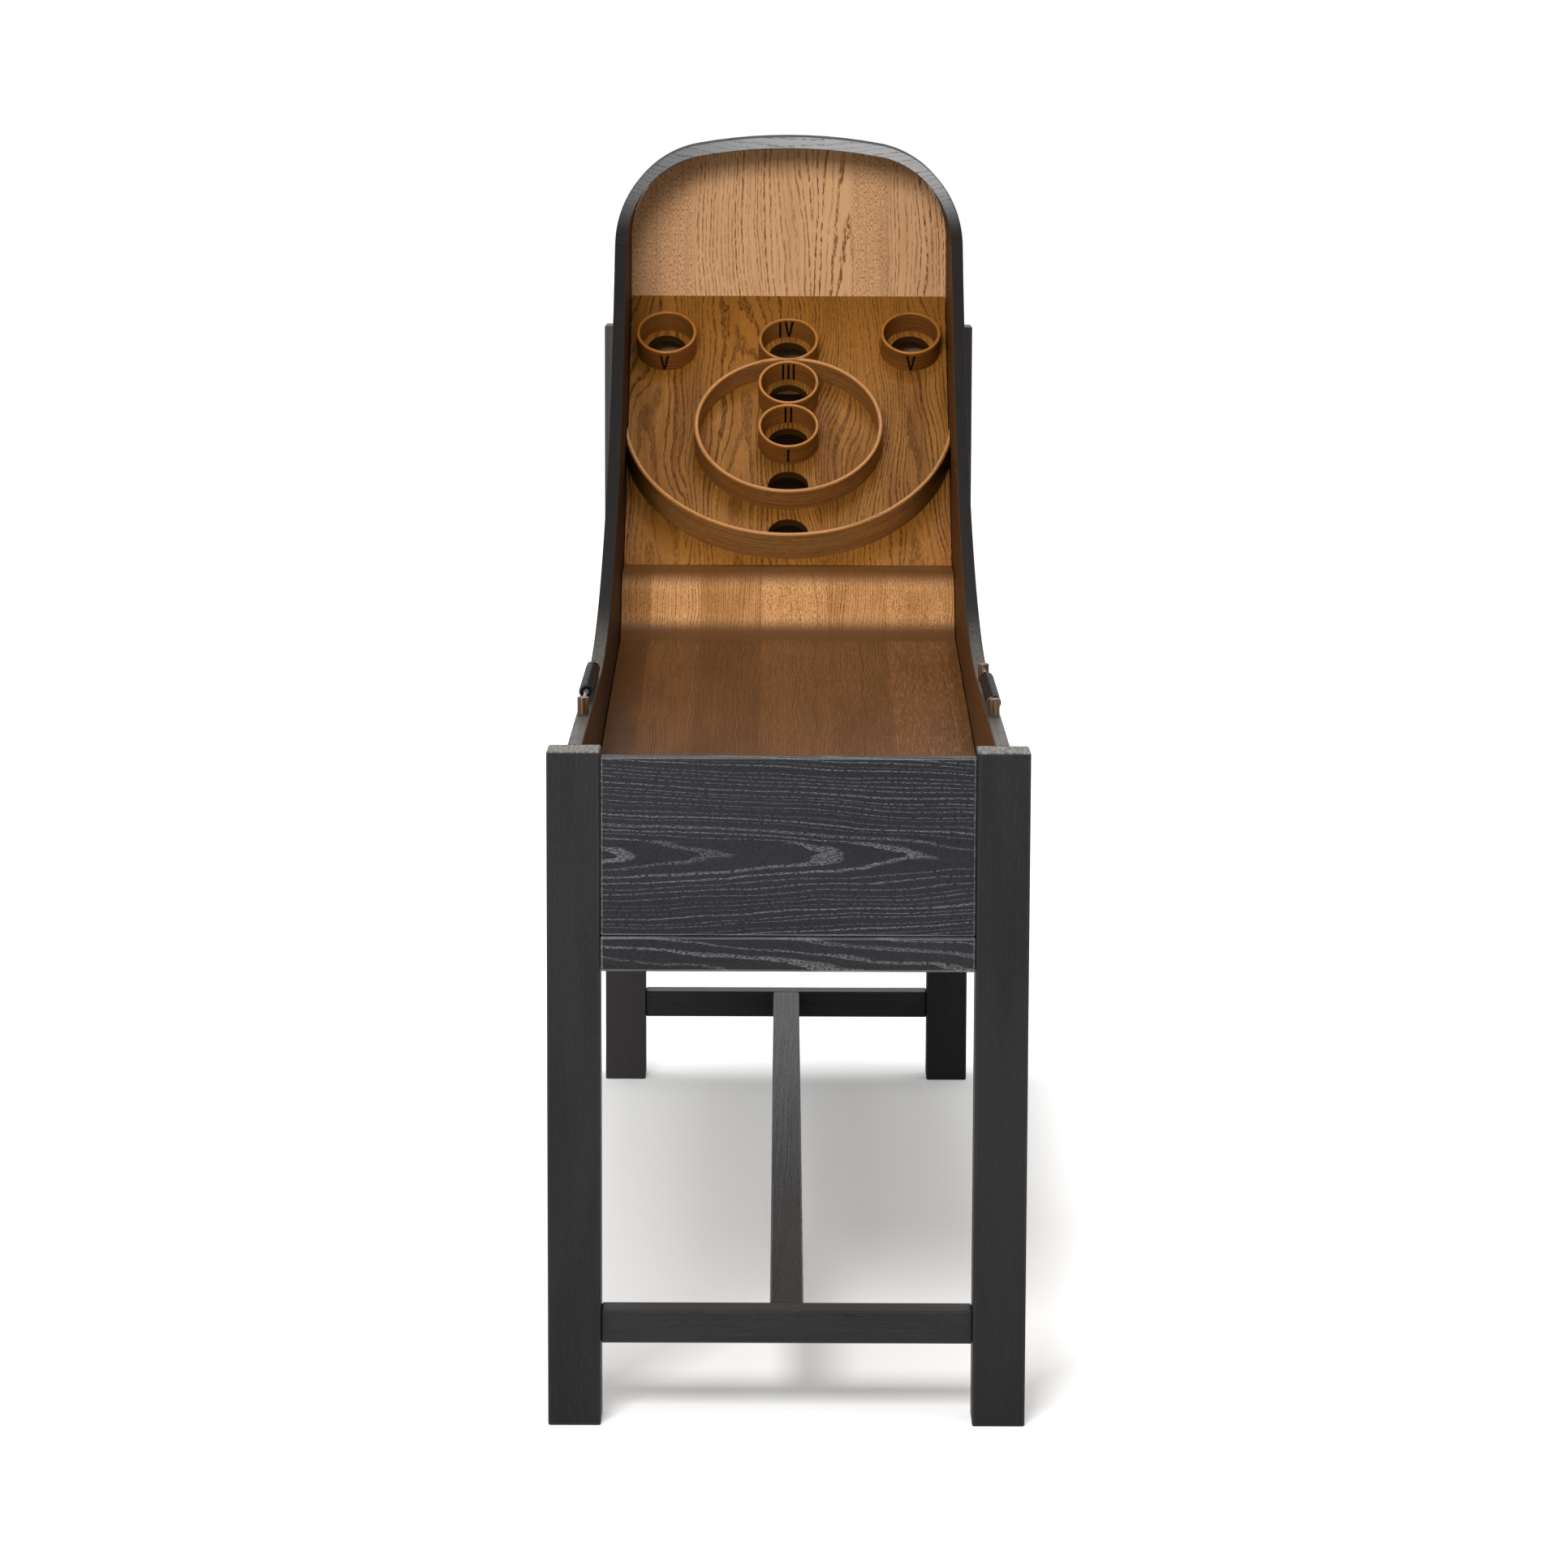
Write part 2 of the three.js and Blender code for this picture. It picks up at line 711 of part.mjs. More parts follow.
function beadShape() {
  const profile = [
    [rodRadius + fitGap, 0],
    [beadRadius - beadEase, 0],
    [beadRadius, beadEase],
    [beadRadius, beadLength - beadEase],
    [beadRadius - beadEase, beadLength],
    [rodRadius + fitGap, beadLength],
    [rodRadius + fitGap, 0],
  ].map(([radius, y]) => new THREE.Vector2(radius, y));
  return new THREE.LatheGeometry(profile, beadSegments);
}

// Beads are counted from the post that the row is pushed against, and slide away from it
function addBeads(side, x, restPost, direction) {
  const firstFace = restPost + direction * (scorerPostRadius + fitGap);
  for (let i = 0; i < beadCount; i += 1) {
    const near = firstFace + direction * i * beadPitch;
    const bead = addPiece(`${side}_bead_${String(i + 1).padStart(2, '0')}`, beadShape(), blackIron);
    bead.position.set(x, direction > 0 ? near : near - beadLength, rodHeight);
  }
}

addLegs();
addStretchers();
addLowerRails();
addSidePanels();
addFrontPanel();
addRearAccessPanel();
addArchHood();
addUpperBackPanel();
addLaneBoard();
addLaunchRamp();
addLaneBearers();
addTargetBoard();
addCups();
addInnerRing();
addOuterArc();
addTargetCleats();
addBallDropBoard();
addBallReturnChute();
addChuteBearer();
addScorerFrame('left', -sideMiddle);
addScorerFrame('right', sideMiddle);
addBeads('left', -sideMiddle, backScorerPost, -1);
addBeads('right', sideMiddle, frontScorerPost, 1);

export default table;
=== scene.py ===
import math

import bmesh
import bpy
from mathutils import Matrix, Vector


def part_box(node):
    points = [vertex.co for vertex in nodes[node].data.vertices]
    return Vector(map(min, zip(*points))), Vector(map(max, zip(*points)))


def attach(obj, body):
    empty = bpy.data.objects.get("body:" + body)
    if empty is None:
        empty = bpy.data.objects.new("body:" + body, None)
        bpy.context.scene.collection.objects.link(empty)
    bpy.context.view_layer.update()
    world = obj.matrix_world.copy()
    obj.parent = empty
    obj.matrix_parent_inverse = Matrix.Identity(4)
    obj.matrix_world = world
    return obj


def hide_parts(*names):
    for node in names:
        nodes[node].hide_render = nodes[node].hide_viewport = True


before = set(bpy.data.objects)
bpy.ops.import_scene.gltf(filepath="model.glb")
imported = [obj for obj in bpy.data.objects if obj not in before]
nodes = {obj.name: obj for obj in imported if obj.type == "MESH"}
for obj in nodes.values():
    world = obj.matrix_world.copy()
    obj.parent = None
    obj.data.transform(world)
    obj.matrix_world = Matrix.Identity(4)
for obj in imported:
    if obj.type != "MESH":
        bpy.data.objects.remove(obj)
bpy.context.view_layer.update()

# The room: a pale studio floor that keeps the table's soft shadow and glows less within the
# table's footprint, a painted shadow there; a white surround, a broad lamp high in front and two
# weak ones overhead. The camera stands well back from the player's end at a tall person's eye
# height, and looks slightly down along the lane.

scene = bpy.context.scene
scene.view_settings.view_transform = "Standard"

camera_lens = bpy.data.cameras.new("camera")
camera_lens.sensor_width = 36.0
camera_lens.lens = 120.43
camera_lens.clip_end = 200.0
camera = bpy.data.objects.new("camera", camera_lens)
camera.location = (-0.0084, -7.9677, 1.8738)
camera.rotation_euler = [math.radians(turn) for turn in (81.556, -0.191, 0.008)]
scene.collection.objects.link(camera)
scene.camera = camera


class Wire:
    """One socket in a tree of shader nodes. Sums written on it add Math nodes."""

    def __init__(self, tree, socket=None):
        self.tree = tree
        self.socket = socket

    def node(self, kind, settings=None, sockets=None, output=0):
        made = self.tree.nodes.new("ShaderNode" + kind)
        for name, value in (settings or {}).items():
            setattr(made, name, value)
        for key, value in (sockets or {}).items():
            if isinstance(value, Wire):
                self.tree.links.new(value.socket, made.inputs[key])
            else:
                made.inputs[key].default_value = value
        return Wire(self.tree, made.outputs[output])

    def math(self, operation, first, second=0.0):
        return self.node("Math", {"operation": operation}, {0: first, 1: second})

    def __add__(self, other):
        return self.math("ADD", self, other)

    def __radd__(self, other):
        return self.math("ADD", other, self)

    def __sub__(self, other):
        return self.math("SUBTRACT", self, other)

    def __rsub__(self, other):
        return self.math("SUBTRACT", other, self)

    def __mul__(self, other):
        return self.math("MULTIPLY", self, other)

    def __rmul__(self, other):
        return self.math("MULTIPLY", other, self)

    def __truediv__(self, other):
        return self.math("DIVIDE", self, other)

    def __rtruediv__(self, other):
        return self.math("DIVIDE", other, self)

    def __pow__(self, other):
        return self.math("POWER", self, other)

    def __abs__(self):
        return self.math("ABSOLUTE", self)

    def above(self, level):
        return self.math("GREATER_THAN", self, level)

    def between(self, low, high):
        """0 below low, 1 above high, and a smooth step between them."""
        return self.node(
            "MapRange",
            {"interpolation_type": "SMOOTHSTEP"},
            {"Value": self, "From Min": low, "From Max": high},
        )

    def blend(self, share, first, second):
        """A colour that goes from first to second as share goes from 0 to 1."""
        return self.node("Mix", {"data_type": "RGBA"}, {0: share, 6: first, 7: second}, 2)

    def place(self):
        """The place on the piece, in metres."""
        return self.node("TexCoord", output="Object")

    def facing(self):
        """The way that the surface faces."""
        return self.node("NewGeometry", output="Normal")

    def past(self, centre):
        """The arrow from a centre to this place."""
        return self.node("VectorMath", {"operation": "SUBTRACT"}, {0: self, 1: centre})

    def along(self, direction):
        """How far this place or arrow reaches in a direction."""
        ends = {0: self, 1: direction}
        return self.node("VectorMath", {"operation": "DOT_PRODUCT"}, ends, "Value")

    def feed(self, shader, socket):
        """Runs this value into a socket of a shader's node."""
        self.tree.links.new(self.socket, shader.inputs[socket])


def tint(code):
    """A colour written as a six-digit code, as the light-linear values that shaders take."""
    shares = [int(code[i:i + 2], 16) / 255 for i in (1, 3, 5)]
    return [s / 12.92 if s <= 0.04045 else ((s + 0.055) / 1.055) ** 2.4 for s in shares] + [1.0]


def fresh_material(name):
    """A new material, a wire in its tree of nodes, and the surface shader's node."""
    material = bpy.data.materials.new(name)
    material.use_nodes = True
    tree = material.node_tree
    return material, Wire(tree), tree.nodes["Principled BSDF"]


along_x, along_y, along_z = (1, 0, 0), (0, 1, 0), (0, 0, 1)
floor_half = 30.0
shade_half_x, shade_half_y, shade_fade = 0.28, 1.05, 0.35
shade_glow, open_glow = 0.15, 0.75

floor_mesh = bpy.data.meshes.new("floor")
corners = [(-1, -1), (1, -1), (1, 1), (-1, 1)]
spread = [(x * floor_half, y * floor_half, 0) for x, y in corners]
floor_mesh.from_pydata(spread, [], [(0, 1, 2, 3)])
floor = bpy.data.objects.new("floor", floor_mesh)
scene.collection.objects.link(floor)
floor_material, paint, floor_shader = fresh_material("pale_floor")
floor_shader.inputs["Base Color"].default_value = tint("#f2f2f1")
floor_shader.inputs["Roughness"].default_value = 1.0
floor_shader.inputs["Specular IOR Level"].default_value = 0.0
seen = paint.node("LightPath", output="Is Camera Ray")
# The floor glows less within the table's footprint and fades up to its full glow outside it: a
# painted shadow under the table.
beside = paint.math("MAXIMUM", abs(paint.place().along(along_x)) - shade_half_x, 0.0)
beyond = paint.math("MAXIMUM", abs(paint.place().along(along_y)) - shade_half_y, 0.0)
away = (beside * beside + beyond * beyond) ** 0.5
lift = away.between(0.0, shade_fade) * (open_glow - shade_glow) + shade_glow
glow = paint.node("Emission", None, {"Color": (1, 1, 1, 1), "Strength": seen * lift})
both = paint.node("AddShader", None, {0: Wire(paint.tree, floor_shader.outputs[0]), 1: glow})
both.feed(paint.tree.nodes["Material Output"], "Surface")
floor_mesh.materials.append(floor_material)

world = bpy.data.worlds.new("studio")
world.use_nodes = True
scene.world = world
world_light = 0.6
backdrop = Wire(world.node_tree)
shown = backdrop.node("LightPath", output="Is Camera Ray")
for ray in ("Is Glossy Ray", "Is Transmission Ray"):
    shown = backdrop.math("MAXIMUM", shown, backdrop.node("LightPath", output=ray))
world_shader = world.node_tree.nodes["Background"]
world_shader.inputs["Color"].default_value = (1, 1, 1, 1)
(shown * (1.0 - world_light) + world_light).feed(world_shader, "Strength")


def lamp(name, place, aim, width, depth, power):
    """A soft rectangular lamp at place that shines at aim."""
    data = bpy.data.lights.new(name, "AREA")
    data.shape = "RECTANGLE"
    data.size = width
    data.size_y = depth
    data.energy = power
    light = bpy.data.objects.new(name, data)
    light.location = place
    light.rotation_euler = (Vector(aim) - Vector(place)).to_track_quat("-Z", "Y").to_euler()
    scene.collection.objects.link(light)


lamp("front_lamp", (-0.9, -4.7, 3.3), (0.0, 0.9, 1.2), 1.7, 1.5, 230)
lamp("overhead_lamp", (0.0, 0.0, 4.2), (0.0, 0.0, 0.0), 0.9, 1.1, 14)
lamp("hood_lamp", (0.16, 0.95, 3.9), (0.0, 1.1, 1.6), 0.85, 0.8, 21)

# Legs, back posts and stretchers: square lengths of open-grained oak, stained black so that
# the pores stay a little lighter than the wood, with eased arrises that rub paler in use.
# The stretchers are let in between the posts as an H frame near the floor.


def sawn(along, across):
    """How a straight board lies: distances across its width, along its grain, and through it."""

    def lie(wood):
        place = wood.place()
        through = Vector(across).cross(Vector(along))
        return place.along(across), place.along(along), place.along(through)

    return lie


class Grain:
    """The figure of a board: where a place lies across it (u), along it (v) and through it (w),
    how early in its year the wood there grew, and the wood's open pores and its fibre."""

    def __init__(self, wood, lie, how):
        self.wood = wood
        self.how = how
        self.u, self.v, self.w = lie(wood)
        self.early = self.early_wood()
        fine = how["pore_across"]
        self.dash = self.cloud(fine, how["pore_along"], fine, 5.1, 1.0).between(0.42, 0.54)
        self.pores = self.open_pores()
        self.fibre = self.cloud(300.0, 6.0, 300.0, 7.9, 3.0) - 0.5

    def cloud(self, across, along, through, shift, detail=2.0):
        """Soft noise, with its number of waves to the metre in each direction."""
        seed = self.how["seed"]
        spot = {0: self.u * across + (seed + shift), 1: self.v * along + seed, 2: self.w * through}
        spot = self.wood.node("CombineXYZ", None, spot)
        return self.wood.node("TexNoise", None, {"Vector": spot, "Scale": 1.0, "Detail": detail})

    def by_stave(self, values):
        """A value that changes at each glued joint, from one stave to the next."""
        level = self.u * 0.0 + values[0]
        for joint, before, after in zip(self.how["joints"], values, values[1:]):
            level = self.u.above(joint) * (after - before) + level
        return level

    def early_wood(self):
        """Yearly rings round a heart line beside the board: near 1 in the open wood that
        each ring starts with, and 0 in the dense wood that follows."""
        how = self.how
        ring = how["ring"]
        heart_u, heart_w = how["heart"]
        bend_u, bend_v = how["bends"]
        wander = (self.cloud(bend_u, bend_v, bend_u, 3.7, 1.0) - 0.5) * (2 * how["drift"])
        side = self.u - heart_u + wander
        if "hearts" in how:
            side = side - self.by_stave(how["hearts"])
        deep = self.w - heart_w
        radius = (side * side + deep * deep) ** 0.5
        ripple = (self.cloud(45.0, how["wave"], 45.0, 11.3) - 0.5) * (1.2 * ring)
        age = (radius + self.v * how["taper"] + ripple) / ring
        uneven = {"W": age * 0.45 + how["seed"], "Scale": 1.0, "Detail": 1.0}
        age = age + self.wood.node("TexNoise", {"noise_dimensions": "1D"}, uneven) * 1.3
        year = {"W": self.wood.math("FLOOR", age) + how["seed"]}
        year = self.wood.node("TexWhiteNoise", {"noise_dimensions": "1D"}, year)
        width = self.cloud(14.0, 2.5, 14.0, 6.3) * 0.5 - 0.05 + how["wide"]
        early = 1.0 - self.wood.math("FRACT", age).between(width, width + how["edge"])
        return early * (year * 0.75 + 0.35)

    def open_pores(self):
        """Short dashes that crowd in the early wood, and even flecks where the board or its
        stave is quarter-sawn."""
        how = self.how
        fleck = self.cloud(how["fleck"], 190.0, 560.0, 2.3, 1.0).between(0.50, 0.62)
        quartered = 0.0
        fade = 0.012
        for low, high in how["quartered"]:
            strip = self.u.between(low - fade, low) * (1.0 - self.u.between(high, high + fade))
            quartered = strip + quartered
        if "stipples" in how:
            quartered = self.by_stave(how["stipples"]) + quartered
        lined = self.dash * (self.early * (1.0 - how["stray"]) + how["stray"])
        return lined * (1.0 - quartered) + fleck * quartered * 0.75


def stained(grain, pale, brown, pore):
    """The colour that stain gives the grain, with each stave's own tone, with colours that fade
    in over a height, and with the pores filled. On some parts those colours are painted light
    and on others painted shade."""
    wood, how = grain.wood, grain.how
    broad = grain.cloud(11.0, 1.6, 11.0, 1.9) - 0.5
    smoke = grain.cloud(26.0, 4.0, 26.0, 9.7) - 0.5
    clouds = grain.by_stave(how["smokes"]) if "smokes" in how else how["clouds"]
    tone = grain.early * how["band"] + grain.fibre * 0.8 + (broad + smoke) * clouds + 0.35
    if "tones" in how:
        tone = grain.by_stave(how["tones"]) + tone
    colour = wood.blend(tone.between(0.0, 1.0), pale, brown)
    for first, last, depth, toner in how["toned"]:
        tall = wood.place().along(along_z)
        colour = wood.blend(tall.between(first, last) * depth, colour, toner)
    colour = wood.blend(grain.pores * how["pore_depth"], colour, pore)
    if "silvers" in how:
        shine = grain.cloud(330.0, 14.0, 330.0, 6.9, 1.0).between(0.54, 0.64)
        colour = wood.blend(shine * grain.by_stave(how["silvers"]), colour, how["silver"])
    return colour


def by_face(grain, colour):
    """Colours the faces that were stained apart, left raw, or cut across the grain. It also gives
    faces that look straight up a painted sheen, and the walls of holes and the parts towards the
    ends a painted shade.
    """
    wood, how, pores = grain.wood, grain.how, grain.pores
    if "outside" in how:
        beyond, weathered, filled = how["outside"]
        outer = wood.blend(pores * 0.7, weathered, filled)
        colour = wood.blend(abs(grain.w).above(beyond), colour, outer)
    if "hollow" in how:
        centre, inner, inner_pore, outer, outer_pore = how["hollow"]
        backward = wood.facing().along(along_y).between(-0.3, -0.1)
        colour = wood.blend(backward, colour, wood.blend(pores * 0.7, outer, outer_pore))
        inside = 1.0 - wood.place().past(centre).along(wood.facing()).above(-0.05)
        colour = wood.blend(inside, colour, wood.blend(pores * 0.6, inner, inner_pore))
    if "second_side" in how:
        beyond, deeper, second_pore = how["second_side"]
        inside = 1.0 - abs(grain.w).above(beyond)
        colour = wood.blend(inside, colour, wood.blend(pores * 0.6, deeper, second_pore))
    if "sky_side" in how:
        # Faces that look straight up are painted paler, a painted sheen.
        streak = grain.cloud(420.0, 0.8, 420.0, 4.4, 3.0) - 0.5
        level = wood.facing().along(along_z).between(0.965, 1.0)
        worn_top = level * (0.85 - grain.dash * 0.1 + streak * 1.2)
        colour = wood.blend(worn_top.between(0.0, 1.0), colour, how["sky_side"])
    if "end_grain" in how:
        beyond, end_pale, end_dark = how["end_grain"]
        rays = grain.cloud(330.0, 0.0, 45.0, 8.8, 3.0).between(0.38, 0.62)
        cut_end = wood.blend(rays * 0.75 + grain.early * 0.3, end_pale, end_dark)
        colour = wood.blend(grain.v.above(beyond), colour, cut_end)
    if "cut_side" in how:
        # The walls of the holes, below the face, are painted dark, a painted shade.
        face, cut_colour = how["cut_side"]
        sunk = 1.0 - grain.w.between(face - 0.0018, face - 0.0002)
        colour = wood.blend(sunk * 0.9, colour, cut_colour)
    if "ends" in how:
        # Towards its ends a part is painted dark, a painted shade.
        near, far, end_colour = how["ends"]
        reach = abs(wood.place().along(along_x))
        colour = wood.blend(reach.between(near, far) * 0.85, colour, end_colour)
    return colour


def at_arris(wire, width):
    """0 on flat faces, and more within the width of an arris."""
    return 1.0 - wire.node("Bevel", {"samples": 4}, {"Radius": width}).along(wire.facing())


def worn_arris(grain, colour):
    """Pales the stain along the arrises, as wear on the black parts and as a painted highlight
    on the waxed boards, but not on a joint at the seam's height.
    """
    wood, how = grain.wood, grain.how
    worn = (at_arris(wood, 0.0022) * how["rub"]).between(0.1, 1.0) * (grain.fibre * 1.2 + 0.55)
    if "seam" in how:
        tall = wood.place().along(along_z)
        worn = worn * abs(tall - how["seam"]).between(0.002, 0.005)
    return wood.blend(worn.between(0.0, 1.0) * 0.8, colour, how["rubbed"])


usual_oak = dict(
    ring=0.006, heart=(0.6, 0.1), taper=0.02, seed=0.0, drift=0.02, bends=(5.0, 1.2), wave=9.0,
    wide=0.0, edge=0.22, pore_across=620.0, pore_along=75.0, pore_depth=0.7, stray=0.06,
    fleck=560.0, quartered=[], band=0.25, clouds=0.8, toned=[], rub=9.0, roughness=0.42,
    specular=0.15, bump=0.25,
)


def oak(name, lie, pale, brown, pore, **how):
    """Oak, stained and finished. What isn't said of its figure or finish is as usual_oak.
    Lengths are in metres, and pores and flecks in waves to the metre. The heart is where the
    rings centre, across and through the board, and a list by stave has a value for each."""
    how = usual_oak | how
    material, wood, shader = fresh_material(name)
    grain = Grain(wood, lie, how)
    pores, fibre = grain.pores, grain.fibre
    colour = by_face(grain, stained(grain, pale, brown, pore))
    if "rim" in how:
        # The top of a rim is painted paler gold, a painted highlight, under a thin coat.
        height, rim_colour = how["rim"]
        top = grain.w.between(height - 0.0030, height - 0.0004)
        worn = top * (fibre * 1.4 + 0.75 - pores * 0.3)
        colour = wood.blend(worn.between(0.0, 1.0), colour, rim_colour)
        (top * 0.25).feed(shader, "Coat Weight")
        shader.inputs["Coat Roughness"].default_value = 0.22
    if "rubbed" in how:
        colour = worn_arris(grain, colour)
    colour.feed(shader, "Base Color")
    rough = pores * 0.2 + fibre * 0.1 + how["roughness"]
    if "handled" in how:
        middle, reach = how["handled"]
        rough = rough - (1.0 - grain.v.between(middle - reach, middle + reach)) * 0.2
    rough.feed(shader, "Roughness")
    shader.inputs["Specular IOR Level"].default_value = how["specular"]
    if "polish" in how:
        low, high = how["polish"]
        frontward = (wood.facing().along(along_y) * -1.0).between(0.15, 0.5)
        tall = wood.place().along(along_z)
        (tall.between(low, high) * frontward * (0.85 - pores * 0.6)).feed(shader, "Coat Weight")
        shader.inputs["Coat Roughness"].default_value = 0.2
    relief = 1.0 - pores - grain.early * 0.15 + fibre * 0.25
    bump = {"Height": relief, "Strength": how["bump"], "Distance": 0.0004}
    wood.node("Bump", None, bump).feed(shader, "Normal")
    return material


def finish_node(name, material):
    """Gives a machined part its finish."""
    for place in nodes[name].material_slots:
        place.material = material


black, blacker, ashen = tint("#19191b"), tint("#111112"), tint("#333336")
faded, rubbed_brown = tint("#454341"), tint("#4d453e")
end_grey, end_charcoal = tint("#7a746d"), tint("#2f2b27")

leg_x, leg_top, post_top = 0.2825, 0.9058, 1.3250
posts = {
    "front_left_leg": -leg_x,
    "front_right_leg": leg_x,
    "back_left_post": -leg_x,
    "back_right_post": leg_x,
}
# The back posts are painted paler towards their tops, a painted light from above, and the left one
# is paler towards its foot too.
fading = {
    "back_left_post": [(0.95, 1.10, 0.9, faded), (0.65, 0.35, 0.8, tint("#302e2d"))],
    "back_right_post": [(0.95, 1.10, 0.8, faded)],
}
for seed, (name, x) in enumerate(posts.items()):
    wood = oak(
        "black_oak_" + name, sawn(along_z, along_x), black, blacker, ashen,
        ring=0.004, heart=(x + 0.6, 0.5), taper=0.01, seed=seed * 3.7,
        pore_depth=0.18, clouds=2.2, specular=0.2, rubbed=rubbed_brown,
        end_grain=(leg_top if "leg" in name else post_top, end_grey, end_charcoal),
        toned=fading.get(name, []),
    )
    finish_node(name, wood)

charcoal = tint("#222224")
stretchers = {
    "front_stretcher": sawn(along_x, along_z),
    "back_stretcher": sawn(along_x, along_z),
    "centre_stretcher": sawn(along_y, along_x),
}
for seed, (name, lie) in enumerate(stretchers.items()):
    wood = oak(
        "black_oak_" + name, lie, black if "centre" in name else charcoal, blacker, ashen,
        ring=0.004, heart=(0.85, 0.3), taper=0.02, seed=seed * 5.3,
        pore_depth=0.3, specular=0.2, rubbed=rubbed_brown,
    )
    finish_node(name, wood)

# Front panel, lower rails and rear panel: black-stained oak boards fixed between the posts,
# set a little behind the legs' faces. Their pores are filled with grey wax, which draws
# the grain in pale lines: straight above the panel's joint, with long peaks below it.


def machined(node, ease, crisp=None, corner=30.0, refine=None):
    """The form of a machined part, shaded smooth. Arrises that turn by more than the corner's
    angle are rounded by ease, but those at the height called crisp stay as they were sawn.
    Refine may add points to the form before that."""
    form = bmesh.new()
    form.from_mesh(nodes[node].data)
    weld, flat = 0.00002, math.radians(0.5)
    bmesh.ops.remove_doubles(form, verts=form.verts, dist=weld)
    bmesh.ops.dissolve_limit(form, angle_limit=flat, verts=form.verts, edges=form.edges)
    if refine:
        refine(form)
    weight = form.edges.layers.float.new("bevel_weight_edge")
    for edge in form.edges:
        seam = crisp and all(abs(vert.co.z - crisp) < 0.001 for vert in edge.verts)
        edge[weight] = edge.calc_face_angle(0.0) > math.radians(corner) and not seam
        edge.smooth = not seam
    mesh = bpy.data.meshes.new(node)
    form.to_mesh(mesh)
    form.free()
    mesh.shade_smooth()
    blank = bpy.data.objects.new("blank", mesh)
    scene.collection.objects.link(blank)
    arris = blank.modifiers.new("arris", "BEVEL")
    arris.width = ease
    arris.segments = 3
    arris.limit_method = "WEIGHT"
    blank.modifiers.new("flat_faces", "WEIGHTED_NORMAL").keep_sharp = True
    settled = blank.evaluated_get(bpy.context.evaluated_depsgraph_get())
    made = bpy.data.meshes.new_from_object(settled)
    bpy.data.objects.remove(blank)
    return made


def add_piece(name, mesh, material, replaced=(), body="table"):
    """Puts a finished piece on the table, in place of the machined parts it stands for."""
    mesh.materials.clear()
    mesh.materials.append(material)
    made = bpy.data.objects.new(name, mesh)
    scene.collection.objects.link(made)
    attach(made, body)
    if replaced:
        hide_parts(*replaced)


waxed = tint("#5f6062")
ebony, ebony_deep = tint("#19161b"), tint("#09080b")
# The waxed boards' arrises are painted pale violet, a painted highlight.
rubbed_violet = tint("#d2cfd1")
rail_joint, panel_joint, rear_inner_face = 0.6613, 0.7866, 1.1485
cabinet_boards = {
    "front_panel": dict(
        seed=1.3, heart=(0.0, -1.142), taper=0.045, ring=0.0062, drift=0.014,
        bends=(9.0, 3.2), wave=9.0, joints=[panel_joint], hearts=[0.770, 0.28],
    ),
    "front_lower_rail": dict(seed=4.1, heart=(0.60, -1.13), taper=0.05, ring=0.011),
    "back_lower_rail": dict(seed=8.2, heart=(0.60, 1.13), taper=0.05, ring=0.006),
    "rear_access_panel": dict(
        seed=6.6, heart=(0.0, 1.12), taper=0.05, ring=0.006, joints=[0.88, 1.10],
        hearts=[0.75, 1.02, 0.6],
        second_side=(rear_inner_face, tint("#b48c5e"), tint("#6e4f30")),
    ),
}
for name, cut in cabinet_boards.items():
    wood = oak(
        "waxed_black_oak_" + name, sawn(along_x, along_z), ebony, ebony_deep, waxed,
        pore_depth=0.8, pore_across=1400.0, pore_along=230.0, edge=0.16, wide=-0.04,
        stray=0.09, specular=0.17, bump=0.08, rubbed=rubbed_violet, rub=30.0, **cut,
    )
    board = machined(name, 0.0014, crisp=rail_joint if name == "front_panel" else None)
    add_piece(name + "_board", board, wood, [name])

# Side panels: four oak boards glued edge to edge on each side, black outside and on the sawn
# edge, and brown inside. The edge is level at the player's end, sweeps up in two curves and
# runs straight to the hood, and its arrises are rounded over by hand.

inner_face, outer_face = 0.2733, 0.2918
side_joints = [0.79, 1.03, 1.27]
outer_black, outer_wax = tint("#171618"), tint("#55555a")
spring_height = 1.4758
sooty, sootier = tint("#120d09"), tint("#0a0705")
# The inner faces are painted darker on the left and paler on the right, a painted shade and a
# painted light.
side_stains = {"left": tint("#2a170a"), "right": tint("#573619")}
for hand, seed, heart_w in (("left", 3.3, 0.25), ("right", 9.4, -0.25)):
    wood = oak(
        f"side_oak_{hand}", sawn(along_y, along_z), sooty, sootier, ashen,
        ring=0.0065, heart=(0.0, heart_w), taper=0.03, seed=seed, drift=0.02, wave=4.0,
        pore_depth=0.4, pore_across=1100.0, pore_along=150.0, edge=0.14, wide=-0.08, stray=0.14,
        joints=side_joints, hearts=[0.70, 0.30, 1.13, 0.80], roughness=0.55, specular=0.07,
        rubbed=rubbed_brown, seam=spring_height, handled=(-0.35, 0.3),
        second_side=(inner_face, side_stains[hand], tint("#24150a")), sky_side=tint("#4f4c48"),
        outside=(outer_face, outer_black, outer_wax),
    )
    panel = machined(f"{hand}_side_panel", 0.0018, crisp=spring_height)
    add_piece(f"{hand}_side", panel, wood, [f"{hand}_side_panel"])

# Hood: a band of thin oak layers bent over a former, with tight shoulders and a shallow crown,
# black like the sides. Its sloping front edge carries on the line of the side panels.


def bent(centre, upright, side, radius):
    """How a bent band lies: distances out from the bend's centre, along the band from its
    top (side 1) or its foot (side -1), and through it."""

    def lie(wood):
        place = wood.place().past(centre)
        right, up = place.along(along_x), place.along(upright)
        out = (right * right + up * up) ** 0.5
        turn = wood.math("ARCTAN2", right, up * side)
        return out, turn * radius, place.along(Vector(along_x).cross(Vector(upright)))

    return lie


